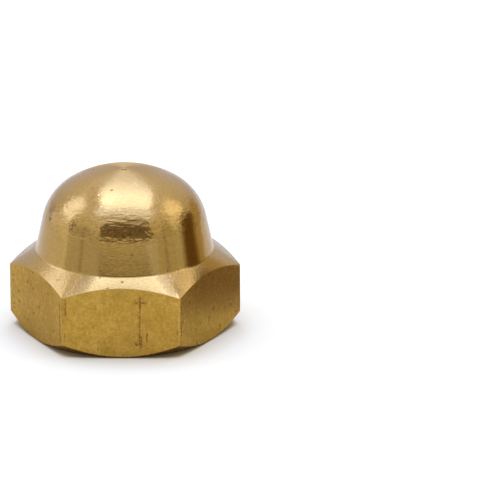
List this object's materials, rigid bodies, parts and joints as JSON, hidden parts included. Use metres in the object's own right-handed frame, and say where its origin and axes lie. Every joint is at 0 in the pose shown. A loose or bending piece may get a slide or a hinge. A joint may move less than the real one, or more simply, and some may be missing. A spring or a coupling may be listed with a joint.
{
  "type": "cap nut",
  "caption": "Low domed cap nut: a hexagon for the spanner with a blind threaded hole, which covers and holds the end of a screw or stud.",
  "frame": {"origin": "centre of the bearing face", "axes": "+Z along the thread axis, from the bearing face to the top of the dome; X across two corners of the hexagon; Y across two flats"},
  "size_m": [0.0092, 0.008, 0.0066],
  "materials": {
    "turned_brass": "turned brass, satin, lightly scratched and pitted"
  },
  "bodies": {
    "root": {"cap_nut": "turned_brass"}
  },
  "joints": []
}
